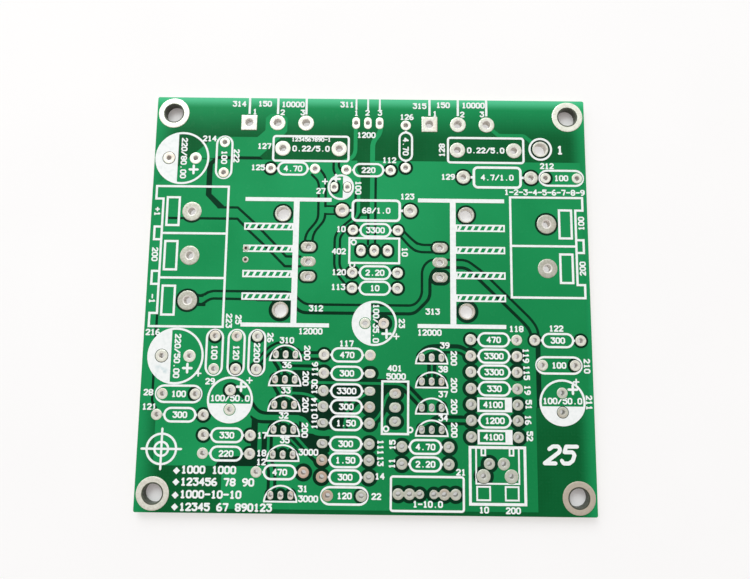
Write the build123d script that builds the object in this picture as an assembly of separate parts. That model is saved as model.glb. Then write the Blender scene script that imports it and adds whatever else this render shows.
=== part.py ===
from build123d import *
import os

# Bare circuit board of an audio amplifier: a drilled laminate, its tinned lands and its printed outlines.
# Millimetres. X runs along the width, Y from the front edge to the back edge, Z up.
# The origin is under the middle of the board, on its underside.
# Places are shares of the board's width and depth, counted from its front left corner.

# Laminate
board_width = 83.82
board_depth = 78.74
board_thickness = 1.6
middle_share = 0.5

# Tin on copper, and ink, that stand on the laminate
plating = 0.05
ink = 0.04
ink_clearance = 0.2
stroke = 0.42

# Sides of the round shapes that repeat
lead_sides = 6
land_sides = 8
print_sides = 12
case_sides = 10
mount_sides = 16

# Mounting holes, in the four corners
mount_inset = 3.3
mount_bore = 3.5
mount_ring = 1.25

# Holes drilled for leads, and the flush lands round them
lead_drill = 0.9
lead_land = 1.9
slim_drill = 0.8
via_drill = 0.5
via_land = 1.2

# Quarter-watt resistors and small diodes
resistor_span = 8.6
resistor_length = 6.1
resistor_width = 2.8
nose_share = 0.38
resistor_shares = [
    (0.322, 0.818), (0.497, 0.816), (0.5145, 0.665), (0.5145, 0.5605), (0.5145, 0.523),
    (0.455, 0.363), (0.455, 0.320), (0.455, 0.279), (0.455, 0.2425), (0.455, 0.205),
    (0.455, 0.158), (0.455, 0.121), (0.455, 0.083), (0.924, 0.4025), (0.090, 0.220),
    (0.195, 0.1745), (0.195, 0.133), (0.313, 0.0925), (0.629, 0.153), (0.629, 0.114),
    (0.781, 0.4025), (0.781, 0.364), (0.781, 0.3265), (0.781, 0.288), (0.781, 0.2145),
]
upright_resistor_shares = [(0.583, 0.8775)]
diode_length = 6.4
diode_width = 2.65
diode_band = 1.3
diode_shares = [(0.781, 0.251), (0.781, 0.177)]

# One-watt and five-watt resistors
watt_span = 13.1
watt_length = 9.5
watt_width = 4.45
watt_drill = 1.1
watt_shares = [(0.516, 0.714)]
cement_span = 11.0
cement_length = 15.1
cement_width = 5.4
cement_drill = 1.3
cement_ring = 0.85
cement_shares = [(0.3627, 0.8695), (0.7688, 0.8695)]
box_corner = 0.9

# Film capacitors
film_span = 6.1
film_length = 8.8
film_width = 3.4
film_corner = 1.0
upright_film_shares = [(0.1617, 0.845), (0.1595, 0.366), (0.208, 0.366), (0.254, 0.366)]
flat_film_shares = [(0.9425, 0.8005), (0.085, 0.268), (0.925, 0.344), (0.454, 0.0415)]
film_gap = 2.8

# Electrolytic capacitors, each printed with a filled segment on its negative side
big_can = 10.5
big_can_span = 5.2
big_can_shares = [(0.0645, 0.842), (0.0735, 0.3565)]
medium_can = 8.5
medium_can_span = 3.5
medium_can_shares = [(0.5147, 0.4387)]
turned_can_shares = [(0.1985, 0.2555), (0.9305, 0.2575)]
small_can = 5.1
small_can_span = 2.54
small_can_shares = [(0.4337, 0.772)]
segment_share = 0.16

# Small transistors, trimmers and the coupling capacitor
small_case = 6.2
small_pitch = 1.82
small_case_front = 1.25
small_shares = [
    (0.3183, 0.3625), (0.3183, 0.304), (0.3183, 0.2455), (0.3183, 0.1885), (0.3183, 0.132), (0.316, 0.041),
    (0.6428, 0.359), (0.6428, 0.303), (0.6428, 0.2425), (0.6428, 0.192),
]
trimmer_length = 9.9
trimmer_width = 5.2
trimmer_pitch = 2.54
flat_trimmer_shares = [(0.5125, 0.6145)]
upright_trimmer_shares = [(0.5623, 0.242)]
coupling_length = 13.6
coupling_width = 6.4
coupling_shares = [(0.633, 0.0478)]
coupling_lead_shares = [
    (0.570, 0.0467), (0.5945, 0.0467), (0.6167, 0.0467), (0.6473, 0.0467), (0.670, 0.0467), (0.6944, 0.0467),
]

# Power transistors on the back edge, with a medium one between them
power_pitch = 5.58
power_drill = 1.5
power_ring = 0.78
power_shares = [(0.283, 0.9355), (0.7048, 0.9355)]
middle_pitch = 2.3
middle_land = 2.4
middle_shares = [(0.4942, 0.937)]
lead_line = 0.46
middle_sign_gap = 1.3

# Heat sinks: two end bars on a stem, four fins, two solder pins and a transistor of three leads
sink_shares = [(0.3332, 0.586), (0.6915, 0.587)]
sink_height = 24.2
sink_reach = 9.9
sink_back = 6.7
sink_bar = 0.76
sink_stem = 1.1
fin_length = 9.4
fin_height = 1.4
fin_gap = 4.88
fin_step = 4.3
via_reach = 0.5
via_pitch = 2.2
pin_drill = 2.5
pin_ring = 0.3
pin_offset = 2.57
pin_spread = 18.6
driver_offset = 2.47
driver_pitch = 2.85
driver_drill = 1.1

# Screw terminals on the side edges, three ways at the left and two at the right
terminal_pitch = 8.6
terminal_drill = 1.4
terminal_ring = 1.15
terminal_shares = [(0.0932, 0.598), (0.9056, 0.630)]
terminal_counts = [3, 2]
terminal_margin = 0.85
terminal_back = 7.1
terminal_front = 5.6
terminal_tab = 1.6
tab_height = 2.9
slot_height = 5.9
slot_width = 2.75
slot_offset = 3.7

# Input socket and test point
socket_side = 10.5
socket_inset = 1.2
socket_well = 6.8
socket_shares = [(0.7856, 0.090)]
socket_lead_shares = [(0.768, 0.1165), (0.7993, 0.1165), (0.755, 0.0887), (0.8156, 0.0887)]
socket_foot = 2.65
socket_foot_shares = [(0.7546, 0.0505), (0.8162, 0.0505)]
test_drill = 2.4
test_ring = 0.35
test_circle = 4.6
test_gap = 0.8
test_rise = 0.35

mount_land = mount_bore + 2 * mount_ring
power_land = power_drill + 2 * power_ring


def at(place):
    """The board point at a place given as shares of its width and depth."""
    x_share, y_share = place
    return Pos((x_share - middle_share) * board_width, (y_share - middle_share) * board_depth)


def leads(point, count, pitch, turn=0):
    """Lead points in a straight row about a point, along X unless turned."""
    start = -(count - 1) * pitch / 2
    return [point * Rot(Z=turn) * Pos(start + step * pitch, 0) for step in range(count)]


def rows(places, count, pitch, turn=0):
    """Lead points of several like components."""
    return [point for place in places for point in leads(at(place), count, pitch, turn)]


def drilled(points, drill):
    """Drilled holes, few-sided because they repeat."""
    return [point * RegularPolygon(drill / 2, lead_sides) for point in points]


def box(left, front, right, back):
    """A rectangle between two corners."""
    return Pos((left + right) / 2, (front + back) / 2) * Rectangle(right - left, back - front)


def frame(shape, length, width, *corner):
    """A printed outline: a shape less the same shape one stroke further in."""
    return shape(length, width, *corner) - shape(length - 2 * stroke, width - 2 * stroke, *corner)


def lozenge(length, width):
    """A capsule in six straight sides."""
    flat = length / 2 - width * nose_share
    corners = [(flat, width / 2), (-flat, width / 2), (-length / 2, 0)]
    return Polygon(*corners, *[(-x, -y) for x, y in corners], align=None)


def clipped_box(length, width, corner):
    """A rectangle with its corners cut off."""
    return chamfer(Rectangle(length, width).vertices(), corner)


def can_mark(diameter):
    """A round outline whose segment at -X is filled."""
    inside = RegularPolygon(diameter / 2 - stroke, print_sides)
    window = Pos(diameter / 2 - segment_share * diameter / 2) * Rectangle(diameter, diameter)
    return RegularPolygon(diameter / 2, print_sides) - (inside & window)


def half_round(radius, rise):
    """The part of a disc that lies behind a straight line."""
    return RegularPolygon(radius, case_sides) & box(-radius, rise, radius, radius)


def case_mark():
    """A small transistor's outline, flat in front of its leads."""
    radius = small_case / 2
    return Pos(0, -small_case_front) * (half_round(radius, 0) - half_round(radius - stroke, stroke))


def diode_mark():
    """A rectangle with a filled band at +X."""
    window = box(stroke - diode_length / 2, stroke - diode_width / 2,
                 diode_length / 2 - diode_band, diode_width / 2 - stroke)
    return Rectangle(diode_length, diode_width) - window


def sink_mark(side):
    """A heat sink seen from above: end bars, stem and fins that point to one side."""
    half = sink_height / 2
    bars = [box(-sink_reach, y - sink_bar / 2, sink_back, y + sink_bar / 2) for y in (-half, half)]
    stem = box(-sink_stem / 2, -half, sink_stem / 2, half)
    first = fin_gap / 2
    heights = [first, first + fin_step, -first, -first - fin_step]
    fin = Pos(-sink_stem / 2 - fin_length / 2) * frame(Rectangle, fin_length, fin_height)
    fins = [Pos(0, y) * fin for y in heights]
    mark = Sketch() + [*bars, stem, *fins]
    return mark if side < 0 else mirror(mark, Plane.YZ)


def terminal_mark(ways, side):
    """A screw terminal: a walled row of ways with wire slots, and tabs towards the board's edge."""
    half = ways * terminal_pitch / 2 + terminal_margin
    wall = frame(Rectangle, terminal_front + terminal_back, 2 * half)
    mark = [Pos((terminal_back - terminal_front) / 2, 0) * wall]
    for way in range(ways):
        y = (way - (ways - 1) / 2) * terminal_pitch
        mark.append(Pos(-slot_offset, y) * frame(Rectangle, slot_width, slot_height))
    edge = stroke - terminal_front
    tab_depth = terminal_tab + stroke
    last_tab = half - tab_height / 2
    for gap in range(ways + 1):
        y = (gap - ways / 2) * terminal_pitch
        tab_y = max(-last_tab, min(last_tab, y))
        mark.append(Pos(edge - tab_depth / 2, tab_y) * frame(Rectangle, tab_depth, tab_height))
        if 0 < gap < ways:
            mark.append(box(edge, y - stroke / 2, terminal_back, y + stroke / 2))
    mark = Sketch() + mark
    return mark if side < 0 else mirror(mark, Plane.YZ)


def socket_mark():
    """The input socket: a double outline with an open well at the back."""
    inner = socket_side - 2 * socket_inset
    well = Pos(0, (socket_side - socket_well) / 2) * frame(Rectangle, inner, socket_well)
    return frame(Rectangle, socket_side, socket_side) + well


def lead_lines(points, start):
    """Lines from the back edge towards the lands of leads that hang over it."""
    half = lead_line / 2
    spots = [point.position for point in points]
    return [box(spot.X - half, spot.Y + start, spot.X + half, board_depth / 2) for spot in spots]


def round_land(drill, ring):
    """A few-sided land with its hole."""
    return RegularPolygon(drill / 2 + ring, land_sides) - RegularPolygon(drill / 2, lead_sides)


def square_land(drill, ring):
    """The square land of a first lead."""
    side = drill + 2 * ring
    return Rectangle(side, side) - RegularPolygon(drill / 2, lead_sides)


def barrel():
    """The outside of a mounting hole's plating, in the laminate."""
    return RegularPolygon(mount_bore / 2 + plating, mount_sides, major_radius=False)


def eyelet():
    """A plated mounting hole: a barrel through the laminate and a land on its top."""
    bore = Circle(mount_bore / 2)
    land = RegularPolygon(mount_land / 2, mount_sides)
    return extrude(barrel() - bore, board_thickness) + Pos(Z=board_thickness) * extrude(land - bore, plating)


def outlines(flat_places, upright_places, shape, length, width, *corner):
    """The outlines of like components, along X and along Y."""
    mark = frame(shape, length, width, *corner)
    flat = [at(place) * mark for place in flat_places]
    return flat + [at(place) * Rot(Z=90) * mark for place in upright_places]


# Lead points
mount_x = board_width / 2 - mount_inset
mount_y = board_depth / 2 - mount_inset
mount_points = [Pos(x, y) for x in (-mount_x, mount_x) for y in (-mount_y, mount_y)]
sides = (-1, 1)
sink_points = [(at(place), side) for place, side in zip(sink_shares, sides)]
pin_points = [
    point * Pos(side * pin_offset, end * pin_spread / 2)
    for point, side in sink_points
    for end in sides
]
driver_points = [
    point * Pos(-side * driver_offset, step * driver_pitch)
    for point, side in sink_points
    for step in (-1, 0, 1)
]
power_points = rows(power_shares, 3, power_pitch)
middle_points = rows(middle_shares, 3, middle_pitch)
cement_points = rows(cement_shares, 2, cement_span)
terminal_points = [
    point
    for place, ways in zip(terminal_shares, terminal_counts)
    for point in leads(at(place), ways, terminal_pitch, 90)
]
test_points = [at(cement_shares[1]) * Pos((cement_length + test_circle) / 2 + test_gap, test_rise)]
beside_film = at(flat_film_shares[0]) * Pos(-(watt_span + film_span) / 2 - film_gap, 0)
watt_middles = [*[at(place) for place in watt_shares], beside_film]
watt_points = [point for middle in watt_middles for point in leads(middle, 2, watt_span)]
fin_end = sink_stem / 2 + fin_length
via_points = [sink_points[0][0] * Pos(via_reach - fin_end, fin_gap / 2 - step * via_pitch) for step in (0, 1)]
can_leads = [
    *rows(big_can_shares, 2, big_can_span),
    *rows(medium_can_shares, 2, medium_can_span),
    *rows(turned_can_shares, 2, medium_can_span, 90),
    *rows(small_can_shares, 2, small_can_span, 180),
]
lead_points = [
    *can_leads,
    *rows(resistor_shares + diode_shares, 2, resistor_span),
    *rows(upright_resistor_shares, 2, resistor_span, 90),
    *rows(upright_film_shares, 2, film_span, 90),
    *rows(flat_film_shares, 2, film_span),
    *[at(place) for place in coupling_lead_shares + socket_lead_shares],
]
slim_points = [
    *middle_points,
    *rows(small_shares, 3, small_pitch),
    *rows(flat_trimmer_shares, 3, trimmer_pitch),
    *rows(upright_trimmer_shares, 3, trimmer_pitch, 90),
]

# Laminate
holes = [
    *[point * barrel() for point in mount_points],
    *drilled(lead_points, lead_drill),
    *drilled(slim_points, slim_drill),
    *drilled(via_points, via_drill),
    *drilled(watt_points, watt_drill),
    *drilled(cement_points, cement_drill),
    *drilled(power_points, power_drill),
    *drilled(pin_points, pin_drill),
    *drilled(driver_points, driver_drill),
    *drilled(terminal_points, terminal_drill),
    *drilled(test_points, test_drill),
]
laminate = extrude(Rectangle(board_width, board_depth) - holes, board_thickness)

# Tinned lands
lands = {
    "terminal_lands": [point * round_land(terminal_drill, terminal_ring) for point in terminal_points],
    "heat_sink_lands": [point * round_land(pin_drill, pin_ring) for point in pin_points],
    "power_transistor_lands": [
        point * (square_land if lead % 3 == 0 else round_land)(power_drill, power_ring)
        for lead, point in enumerate(power_points)
    ],
    "power_resistor_lands": [point * round_land(cement_drill, cement_ring) for point in cement_points],
    "test_point_land": [point * round_land(test_drill, test_ring) for point in test_points],
}

# Printed outlines
radius = test_circle / 2
marks = {
    "resistor_outlines": outlines(
        resistor_shares, upright_resistor_shares, lozenge, resistor_length, resistor_width
    ),
    "diode_outlines": [at(place) * diode_mark() for place in diode_shares],
    "one_watt_resistor_outlines": [
        point * frame(clipped_box, watt_length, watt_width, box_corner) for point in watt_middles
    ],
    "five_watt_resistor_outlines": outlines(
        cement_shares, [], clipped_box, cement_length, cement_width, box_corner
    ),
    "film_capacitor_outlines": outlines(
        flat_film_shares, upright_film_shares, clipped_box, film_length, film_width, film_corner
    ),
    "electrolytic_outlines": [
        *[at(place) * can_mark(big_can) for place in big_can_shares],
        *[at(place) * can_mark(medium_can) for place in medium_can_shares],
        *[at(place) * Rot(Z=90) * can_mark(medium_can) for place in turned_can_shares],
        *[at(place) * Rot(Z=180) * can_mark(small_can) for place in small_can_shares],
    ],
    "small_transistor_outlines": [at(place) * case_mark() for place in small_shares],
    "trimmer_outlines": outlines(
        flat_trimmer_shares, upright_trimmer_shares, Rectangle, trimmer_length, trimmer_width
    ),
    "coupling_capacitor_outline": outlines(coupling_shares, [], Rectangle, coupling_length, coupling_width),
    "heat_sink_outlines": [at(place) * sink_mark(side) for place, side in zip(sink_shares, sides)],
    "terminal_outlines": [
        at(place) * terminal_mark(ways, side)
        for place, ways, side in zip(terminal_shares, terminal_counts, sides)
    ],
    "input_socket_outline": [
        *[at(place) * socket_mark() for place in socket_shares],
        *outlines(socket_foot_shares, [], Rectangle, socket_foot, socket_foot),
    ],
    "lead_lines": [
        *lead_lines(power_points, power_land / 2 + ink_clearance),
        *lead_lines(middle_points, middle_land / 2 + ink_clearance + middle_sign_gap),
    ],
    "test_point_ring": [
        point * (RegularPolygon(radius, land_sides) - RegularPolygon(radius - stroke, land_sides))
        for point in test_points
    ],
}

# Ink keeps off the lands and off ink that is already there
free_of_ink = [
    *[point * RegularPolygon(lead_land / 2 + ink_clearance, lead_sides) for point in can_leads],
    *[point * RegularPolygon(via_land / 2, lead_sides) for point in via_points],
    *[point * RegularPolygon(test_drill / 2 + test_ring, land_sides) for point in test_points],
    *[point * RegularPolygon(cement_drill / 2 + cement_ring, land_sides) for point in cement_points],
    *[point * RegularPolygon(terminal_drill / 2 + terminal_ring, land_sides) for point in terminal_points],
    *[point * RegularPolygon(pin_drill / 2 + pin_ring, land_sides) for point in pin_points],
    *[point * Rectangle(power_land, power_land) for point in power_points],
    *[point * RegularPolygon(mount_land / 2, mount_sides) for point in mount_points],
]
taken = Sketch() + free_of_ink

os.makedirs("parts", exist_ok=True)
export_step(laminate, "parts/laminate.step")
export_step(Compound([point * eyelet() for point in mount_points]), "parts/mounting_eyelets.step")
for name, shapes in lands.items():
    export_step(Pos(Z=board_thickness) * extrude(Sketch() + shapes, plating), "parts/" + name + ".step")
for name, shapes in marks.items():
    mark = Sketch() + shapes - taken
    taken = taken + mark
    export_step(Pos(Z=board_thickness) * extrude(mark, ink), "parts/" + name + ".step")
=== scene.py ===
import math

import bpy
from mathutils import Matrix, Vector
from mathutils.geometry import delaunay_2d_cdt


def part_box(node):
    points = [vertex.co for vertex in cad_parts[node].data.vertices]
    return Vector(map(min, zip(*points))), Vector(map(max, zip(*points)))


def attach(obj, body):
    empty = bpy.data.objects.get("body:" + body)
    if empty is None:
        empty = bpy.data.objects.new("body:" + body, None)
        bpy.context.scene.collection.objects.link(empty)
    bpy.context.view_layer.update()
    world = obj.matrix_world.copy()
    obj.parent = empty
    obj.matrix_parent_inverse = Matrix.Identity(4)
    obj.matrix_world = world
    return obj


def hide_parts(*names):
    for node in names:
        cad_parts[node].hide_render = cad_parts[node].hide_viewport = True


# Bare amplifier circuit board: copper relief under a green mask, tinned lands and a printed white legend.
# Sizes are in millimetres and turn into metres when a mesh is made.
# Shares are thousandths of the board's width and depth, counted from its front left corner.

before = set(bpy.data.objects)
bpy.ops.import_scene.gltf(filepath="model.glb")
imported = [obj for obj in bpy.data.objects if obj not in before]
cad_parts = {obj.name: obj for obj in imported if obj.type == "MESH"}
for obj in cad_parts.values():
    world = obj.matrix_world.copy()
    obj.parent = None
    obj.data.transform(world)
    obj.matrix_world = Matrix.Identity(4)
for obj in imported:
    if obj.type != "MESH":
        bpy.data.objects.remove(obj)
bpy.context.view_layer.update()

mm = 0.001
whole = 1000
low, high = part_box("laminate")
width = (high.x - low.x) / mm
depth = (high.y - low.y) / mm
top = high.z / mm
tin_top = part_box("terminal_lands")[1].z / mm
ink_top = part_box("resistor_outlines")[1].z / mm

# Levels of the surfaces
relief = 0.035
under_relief = 0.03
sunk = 0.02
plating = 0.03
ink_step = 0.0006
board_corner = 0.35
ground = top - relief - sunk
under_ground = under_relief * 2 + sunk

# Widths of printed lines
stroke = 0.4
thin_stroke = 0.3
bold_stroke = 0.5
watt_stroke = 0.48
cement_stroke = 0.42
power_stroke = 0.44
terminal_stroke = 0.42
middle_stroke = 0.36
pad_gap = 0.12
via_gap = 0.03

# Facets of round shapes, and how near two points are one
pad_sides = 32
arc_steps = 6
case_steps = 20
can_sides = 48
ring_sides = 20
merge_reach = 1e-5

# Widths of the moats that part a pad from the copper round it
ring_moat = 0.17
thin_moat = 0.4
moat = 0.45
case_moat = 0.56
wide_moat = 0.62
under_moat = 0.4


def rows(words):
    """A table of shares, each with the word that may stand beside it."""
    entries = [entry.split() for entry in words.split(",")]
    return [((float(x), float(y)), *rest) for x, y, *rest in entries]


# Components, each kind with its lead span, its printed body and the shares of its middles
resistor_span = 8.6
resistor_body = (6.1, 2.85)
resistors = rows("""
    322 818 4.70, 497 816 220, 514.5 665 3300, 514.5 560.5 2.20, 514.5 523 10, 455 363 470, 455 320 300,
    455 279 3300, 455 242.5 300, 455 205 1.50, 455 158 300, 455 121 1.50, 455 83 300, 924 402.5 300,
    90 220 300, 195 174.5 330, 195 133 220, 313 92.5 470, 629 153 4.70, 629 114 2.20, 781 402.5 470,
    781 364 3300, 781 326.5 3300, 781 288 330, 781 214.5 1200""")
upright_resistor_share = (583, 877.5)
diode_body = (6.4, 2.65)
diode_band = 1.3
diode_shares = [(781, 251), (781, 177)]
watt_span = 13.1
watt_body = (9.5, 4.45)
watt_corner = 1.0
watt_share = (516, 714)
watt_numbers = ["68/1.0", "4.7/1.0"]
film_gap = 2.8
cement_span = 11.0
cement_body = (15.1, 5.4)
cement_corner = 0.7
cement_shares = [(362.7, 869.5), (768.8, 869.5)]
film_span = 6.1
film_body = (8.8, 3.4)
# Turn, share, number, and the moat round both leads or round each
films = [
    (0, (942.5, 800.5), "100", [moat, 0]), (0, (85, 268), "100", [0, moat]),
    (0, (925, 344), "100", [0, moat]), (0, (454, 41.5), "120", [0, moat]),
    (90, (161.7, 845), "100", 0), (90, (159.5, 366), "100", [0, moat]),
    (90, (208, 366), "120", [moat, 0]), (90, (254, 366), "2200", moat),
]
segment_share = 0.16
# Cans: diameter and lead span, then turn, share, number and moats as above
big_can = (10.5, 5.2)
middle_can = (8.5, 3.5)
little_can = (5.1, 2.54)
cans = [
    (big_can, 0, (64.5, 842), "220/80.00", [ring_moat, 0]),
    (big_can, 0, (73.5, 356.5), "220/50.00", [ring_moat, 0]),
    (middle_can, 0, (514.7, 438.7), "100/35.0", [0, wide_moat]),
    (middle_can, 90, (198.5, 255.5), "100/50.0", [0, moat]),
    (middle_can, 90, (930.5, 257.5), "100/50.0", [ring_moat, 0]),
    (little_can, 180, (433.7, 772), "", [ring_moat, thin_moat]),
]
can_number_rise = 0.3
small_case = 6.2
small_pitch = 1.82
small_case_front = 1.25
small_shares = [
    (318.3, 362.5), (318.3, 304), (318.3, 245.5), (318.3, 188.5), (318.3, 132), (316, 41),
    (642.8, 359), (642.8, 303), (642.8, 242.5), (642.8, 192),
]
trimmer_body = (9.9, 5.2)
trimmer_pitch = 2.54
# Turn and share
trimmers = [(0, (512.5, 614.5)), (90, (562.3, 242))]
trimmer_ring = 1.2
trimmer_ring_shares = [(465.4, 634.6), (463, 579), (542.7, 193), (595.5, 191.2)]
coupling_body = (13.6, 6.4)
coupling_corner = 0.6
coupling_share = (633, 47.8)
coupling_row_share = 46.7
coupling_wide_shares = [570, 594.5, 670, 694.4]
coupling_slim_shares = [616.7, 647.3]
coupling_link_shares = [(570, 616.7), (647.3, 694.4)]
link_height = 0.8
link_drop = 0.012
power_pitch = 5.58
power_shares = [(283, 935.5), (704.8, 935.5)]
middle_pitch = 2.3
middle_share = (494.2, 937)
power_line_share = 958
middle_line_share = 971.7
# Side the fins point to and share
sinks = [(-1, (333.2, 586)), (1, (691.5, 587))]
sink_height = 24.2
sink_reach = 9.9
sink_back = 6.7
sink_bar = 0.76
sink_stem = 1.1
fin_length = 9.4
fin_height = 1.4
fin_heights = [6.74, 2.44, -2.44, -6.74]
hatch_count = 7
hatch_pitch = 1.27
hatch_line = 0.5
hatch_lean = 0.75
hatch_start = 0.1
pin_offset = 2.57
pin_spread = 18.6
driver_offset = 2.47
driver_pitch = 2.85
via_reach = 0.5
via_pitch = 2.2
terminal_pitch = 8.6
# Side, number of wires, share and margins at the two ends
terminals = [(-1, 3, (93.2, 598), (0.85, 0.85)), (1, 2, (905.6, 630), (1.5, 1.13))]
terminal_back = 7.1
terminal_front = 5.8
terminal_tab = 1.4
tab_height = 2.9
slot_size = (2.75, 5.9)
slot_offset = 3.62
socket_side = 10.5
socket_well = (8.1, 6.8)
socket_notch = (1.0, 1.5)
notch_offset = 2.57
socket_share = (785.6, 90)
socket_foot = 2.65
socket_foot_shares = [(754.6, 50.5), (816.2, 50.5)]
test_circle = 4.6
test_gap = 0.8
test_rise = 0.35
mount_inset = 3.3

# Pads: length, height and drill
mount_pad = (6.0, 6.0, 3.5)
lead_pad = (2.0, 2.0, 0.9)
flat_pad = (2.0, 1.6, 0.9)
wide_pad = (2.3, 2.3, 0.9)
slim_pad = (1.5, 2.0, 0.8)
case_pad = (1.04, 1.5, 0.75)
trimmer_pad = (1.76, 2.15, 0.8)
turned_trimmer_pad = (2.15, 1.76, 0.8)
middle_pad = (1.5, 2.4, 0.8)
driver_pad = (2.9, 1.9, 1.1)
power_pad = (3.06, 3.06, 1.5)
cement_pad = (3.0, 3.0, 1.3)
watt_pad = (2.6, 2.6, 1.1)
terminal_pad = (3.7, 3.7, 1.4)
pin_pad = (3.1, 3.1, 2.5)
test_pad = (3.1, 3.1, 2.4)
via_pad = (1.2, 1.2, 0.5)
small_coupling_pad = (1.6, 1.6, 0.9)
signal_pad = (2.2, 2.2, 0.9)
shield_pad = (2.5, 2.5, 0.9)
# Share, pad and moat
socket_leads = [
    ((768, 116.5), lead_pad, wide_moat), ((799.3, 116.5), signal_pad, 0),
    ((755, 88.7), shield_pad, wide_moat), ((815.6, 88.7), shield_pad, 0),
]


def at(share):
    """The point at a share, in millimetres from the board's middle."""
    x, y = share
    return (x / whole - 0.5) * width, (y / whole - 0.5) * depth


def by(point, x, y, turn=0):
    """A point moved by a step that is turned first."""
    angle = math.radians(turn)
    c = math.cos(angle)
    s = math.sin(angle)
    return point[0] + x * c - y * s, point[1] + x * s + y * c


def leads(point, count, pitch, turn=0):
    """Lead points in a straight row about a point."""
    return [by(point, (step - (count - 1) / 2) * pitch, 0, turn) for step in range(count)]


def circle(point, radius, sides=pad_sides):
    """A round outline."""
    return [by(point, radius, 0, 360 * step / sides) for step in range(sides)]


def arc(radius, start, end, steps):
    """Points on an arc about the origin."""
    return [by((0, 0), radius, 0, start + (end - start) * step / steps) for step in range(steps + 1)]


def box(length, height, corner=0.0):
    """A rectangle about the origin, with round corners if any."""
    x = length / 2 - corner
    y = height / 2 - corner
    points = [(x, y), (-x, y), (-x, -y), (x, -y)]
    if corner == 0:
        return points
    arcs = [put(arc(corner, 90 * n, 90 * n + 90, arc_steps), middle) for n, middle in enumerate(points)]
    return sum(arcs, [])


def heading(a, b):
    """The direction from a to b in degrees."""
    return math.degrees(math.atan2(b[1] - a[1], b[0] - a[0]))


def capsule(a, b, size, steps=4):
    """A line from a to b with round ends."""
    turn = heading(a, b)
    far_end = put(arc(size / 2, turn - 90, turn + 90, steps), b)
    return far_end + put(arc(size / 2, turn + 90, turn + 270, steps), a)


def bar(a, b, size):
    """A line from a to b with square ends."""
    turn = heading(a, b)
    half = size / 2
    return [by(a, 0, -half, turn), by(b, 0, -half, turn), by(b, 0, half, turn), by(a, 0, half, turn)]


def put(polygon, point, turn=0, side=1):
    """A polygon mirrored, turned and moved to its place."""
    return [by(point, x * side, y, turn) for x, y in polygon]


def eased(points, reach):
    """A line of points whose corners are rounded."""
    line = [points[0]]
    for before, corner, after in zip(points, points[1:], points[2:]):
        middle = Vector(corner)
        start = middle + (Vector(before) - middle).normalized() * reach
        end = middle + (Vector(after) - middle).normalized() * reach
        for step in range(arc_steps + 1):
            t = step / arc_steps
            line.append(tuple(start * (1 - t) ** 2 + middle * 2 * t * (1 - t) + end * t ** 2))
    line.append(points[-1])
    return line


def ring(outer, inner):
    """A shape between two outlines."""
    return [outer], [inner]


def solid(polygon):
    """A filled shape."""
    return [polygon], []


def shifted(shape, point, turn=0, side=1):
    """A shape at its place."""
    return [[put(polygon, point, turn, side) for polygon in part] for part in shape]


def frame_of(length, height, line=stroke, corner=0.0):
    """The printed outline of a box."""
    inner = max(corner - line, 0.0)
    return ring(box(length, height, corner), box(length - 2 * line, height - 2 * line, inner))


def cut_up(polygons):
    """Triangles of overlapping polygons, each with the polygons that cover it."""
    points = []
    faces = []
    for polygon in polygons:
        area = sum(a[0] * b[1] - b[0] * a[1] for a, b in zip(polygon, polygon[1:] + polygon[:1]))
        ordered = polygon if area > 0 else polygon[::-1]
        faces.append(list(range(len(points), len(points) + len(ordered))))
        points.extend(Vector(point) for point in ordered)
    made = delaunay_2d_cdt(points, [], faces, 1, merge_reach, True)
    return made[0], made[2], made[5]


def keep_mesh(name, points, faces, materials, indices=None, smooth=None):
    """A mesh object in metres."""
    mesh = bpy.data.meshes.new(name)
    mesh.from_pydata([Vector(point) * mm for point in points], [], faces)
    for material in materials:
        mesh.materials.append(material)
    if indices:
        mesh.polygons.foreach_set("material_index", indices)
    if smooth:
        mesh.shade_smooth()
        mesh.set_sharp_from_angle(angle=math.radians(smooth))
    mesh.validate()
    mesh.update()
    piece = bpy.data.objects.new(name, mesh)
    bpy.context.scene.collection.objects.link(piece)
    return piece


def edges_of(triangles):
    """Each edge of the triangles, with the triangle on its left."""
    return {(a, b): n for n, t in enumerate(triangles) for a, b in zip(t, t[1:] + t[:1])}


def packed(points, faces):
    """Points and faces without the points that no face uses."""
    used = sorted({n for face in faces for n in face})
    order = {n: k for k, n in enumerate(used)}
    return [points[n] for n in used], [[order[n] for n in face] for face in faces]


def slab(name, shapes, keep_off, z_low, z_high, material):
    """A flat piece: the shapes joined, less what they keep off."""
    polygons = []
    roles = []
    for number, (plus, minus) in enumerate(shapes):
        polygons += plus + minus
        roles += [(number, True)] * len(plus) + [(number, False)] * len(minus)
    first_off = len(polygons)
    points, triangles, covers = cut_up(polygons + keep_off)
    kept = []
    for triangle, cover in zip(triangles, covers):
        if any(n >= first_off for n in cover):
            continue
        less = {roles[n][0] for n in cover if not roles[n][1]}
        if any(roles[n][1] and roles[n][0] not in less for n in cover):
            kept.append(list(triangle))
    count = len(points)
    mesh_points = [(point.x, point.y, z) for z in (z_high, z_low) for point in points]
    edges = edges_of(kept)
    walls = [[b, a, a + count, b + count] for a, b in edges if (b, a) not in edges]
    floors = [[n + count for n in reversed(triangle)] for triangle in kept]
    return keep_mesh(name, *packed(mesh_points, kept + floors + walls), [material])


# Materials: waves of a noise to the metre and the range of its greys, pitches and reaches in millimetres
cloud_waves = 90.0
gloss_waves = 700.0
film_waves = 2200.0
tin_waves = 2600.0
breath_waves = 160.0
satin_waves = 1500.0
thin_waves = 1300.0
stain_waves = 800.0
ink_waves = 3000.0
saw_waves = 4000.0
weave_pitch = 0.6
layer_pitch = 0.2
usual_range = (0.3, 0.7)
mask_grain = 0.02
ink_grain = 0.03
tin_grain = 0.05
saw_grain = 0.05
# Pitch of bands at scale one, in metres
unit_pitch = math.pi / 10
stain_reach = (0.4, 2.2)
stain_share = (40, 316)
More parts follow.
